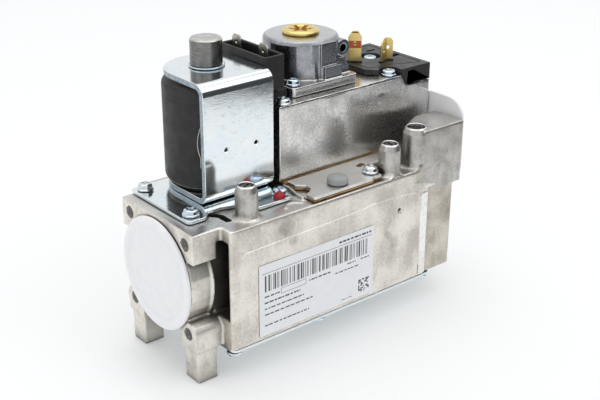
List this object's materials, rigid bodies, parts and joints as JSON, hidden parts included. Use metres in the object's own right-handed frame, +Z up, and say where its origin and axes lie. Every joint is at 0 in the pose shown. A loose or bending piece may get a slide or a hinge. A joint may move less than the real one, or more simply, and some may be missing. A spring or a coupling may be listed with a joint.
{
  "type": "gas valve",
  "caption": "Flanged combination gas control valve for a boiler: cast body, solenoid coil in a bent yoke, servo block, pressure regulator and terminal block.",
  "frame": {"origin": "on the standing plane, under the middle of the whole valve", "axes": "+X along the gas flow from the inlet flange to the outlet flange, +Y from the labelled side to the back, +Z up towards the solenoid"},
  "size_m": [0.1538, 0.0696, 0.136],
  "materials": {
    "cast_aluminium": "as-cast, warm grey, matt",
    "die_cast_alloy": "die-cast, mottled satin",
    "zinc_plate": "bright zinc-plated steel sheet",
    "screw_zinc": "bright zinc-plated screws",
    "turned_steel": "turned stainless steel",
    "tinned_blade": "tinned",
    "brass": "turned and stamped brass",
    "black_plastic": "moulded, fine matt",
    "seal_rubber": "matt",
    "grey_rubber": "matt",
    "gasket_board": "fibre gasket board",
    "white_plastic": "soft polyethylene",
    "label_paper": "printed film label"
  },
  "bodies": {
    "valve": {"access_gasket": "gasket_board", "access_plate": "cast_aluminium", "access_screw": "screw_zinc", "armature_spring": "turned_steel", "armature_tube": "turned_steel", "bottom_plate": "zinc_plate", "bottom_screw_1": "screw_zinc", "bottom_screw_2": "screw_zinc", "bottom_screw_3": "screw_zinc", "bottom_screw_4": "screw_zinc", "bottom_screw_5": "screw_zinc", "coil": "black_plastic", "coil_blade_1": "tinned_blade", "coil_blade_2": "tinned_blade", "coil_yoke": "zinc_plate", "cover_plate": "zinc_plate", "cover_screw_1": "screw_zinc", "cover_screw_2": "screw_zinc", "cover_screw_3": "screw_zinc", "cover_screw_4": "screw_zinc", "cover_seal": "seal_rubber", "diaphragm": "seal_rubber", "fixed_core": "turned_steel", "inlet_strainer": "turned_steel", "main_body": "cast_aluminium", "rating_label": "label_paper", "regulator_diaphragm": "seal_rubber", "regulator_housing": "die_cast_alloy", "regulator_pad": "black_plastic", "regulator_screw_1": "screw_zinc", "regulator_screw_2": "screw_zinc", "regulator_spring": "turned_steel", "servo_block": "die_cast_alloy", "servo_gasket": "gasket_board", "servo_screw_1": "screw_zinc", "servo_screw_2": "screw_zinc", "servo_screw_3": "screw_zinc", "servo_screw_4": "screw_zinc", "terminal_blade_1": "brass", "terminal_blade_2": "brass", "terminal_blade_3": "brass", "terminal_blade_4": "brass", "terminal_block": "black_plastic", "terminal_screw": "screw_zinc", "tube_clip_ring": "zinc_plate", "valve_spring": "turned_steel"},
    "armature_lift_body": {"armature": "turned_steel", "first_valve_disc": "die_cast_alloy", "first_valve_seal": "seal_rubber"},
    "main_valve_body": {"second_valve_disc": "die_cast_alloy", "second_valve_seal": "seal_rubber", "valve_stem": "die_cast_alloy"},
    "adjuster": {"adjuster_screw": "brass"},
    "seat": {"spring_seat": "turned_steel"},
    "inlet_cap": {"inlet_dust_cap": "white_plastic"},
    "outlet_cap": {"outlet_dust_cap": "white_plastic"},
    "plug": {"rubber_plug": "grey_rubber"},
    "test_screw_a": {"test_screw_1": "turned_steel"},
    "test_screw_b": {"test_screw_2": "turned_steel"},
    "test_screw_c": {"test_screw_3": "turned_steel"}
  },
  "joints": [
    {"name": "armature_lift", "type": "slide", "parent": "valve", "child": "armature_lift_body", "axis": [0, 0, 1], "range_m": [0, 0.004], "stiffness_N_per_m": 300, "springref_m": -0.006, "deforming": ["armature_spring"]},
    {"name": "main_valve_lift", "type": "slide", "parent": "valve", "child": "main_valve_body", "axis": [0, 0, 1], "range_m": [0, 0.005], "stiffness_N_per_m": 200, "springref_m": -0.006, "deforming": ["valve_spring"]},
    {"name": "adjuster_turn", "type": "hinge", "parent": "valve", "child": "adjuster", "pos_m": [0.01655, 0.0159, 0.128], "axis": [0, 0, 1], "range_deg": [0, 1080]},
    {"name": "seat_travel", "type": "slide", "parent": "valve", "child": "seat", "axis": [0, 0, -1], "range_m": [0, 0.003], "deforming": ["regulator_spring"]},
    {"name": "inlet_cap_pull", "type": "slide", "parent": "valve", "child": "inlet_cap", "axis": [-1, 0, 0], "range_m": [0, 0.03]},
    {"name": "outlet_cap_pull", "type": "slide", "parent": "valve", "child": "outlet_cap", "axis": [1, 0, 0], "range_m": [0, 0.03]},
    {"name": "plug_pull", "type": "slide", "parent": "valve", "child": "plug", "axis": [0, 0, 1], "range_m": [0, 0.01]},
    {"name": "test_screw_a_turn", "type": "hinge", "parent": "valve", "child": "test_screw_a", "pos_m": [-0.04665, -0.0261, 0.084], "axis": [0, 0, 1], "range_deg": [0, 1080]},
    {"name": "test_screw_b_turn", "type": "hinge", "parent": "valve", "child": "test_screw_b", "pos_m": [0.03135, -0.0289, 0.084], "axis": [0, 0, 1], "range_deg": [0, 1080]},
    {"name": "test_screw_c_turn", "type": "hinge", "parent": "valve", "child": "test_screw_c", "pos_m": [0.04795, -0.02835, 0.088], "axis": [0, 0, 1], "range_deg": [0, 1080]}
  ],
  "couplings": [
    {"joint": "adjuster_turn", "follows": "seat_travel", "rad_per_m": 6283}
  ]
}
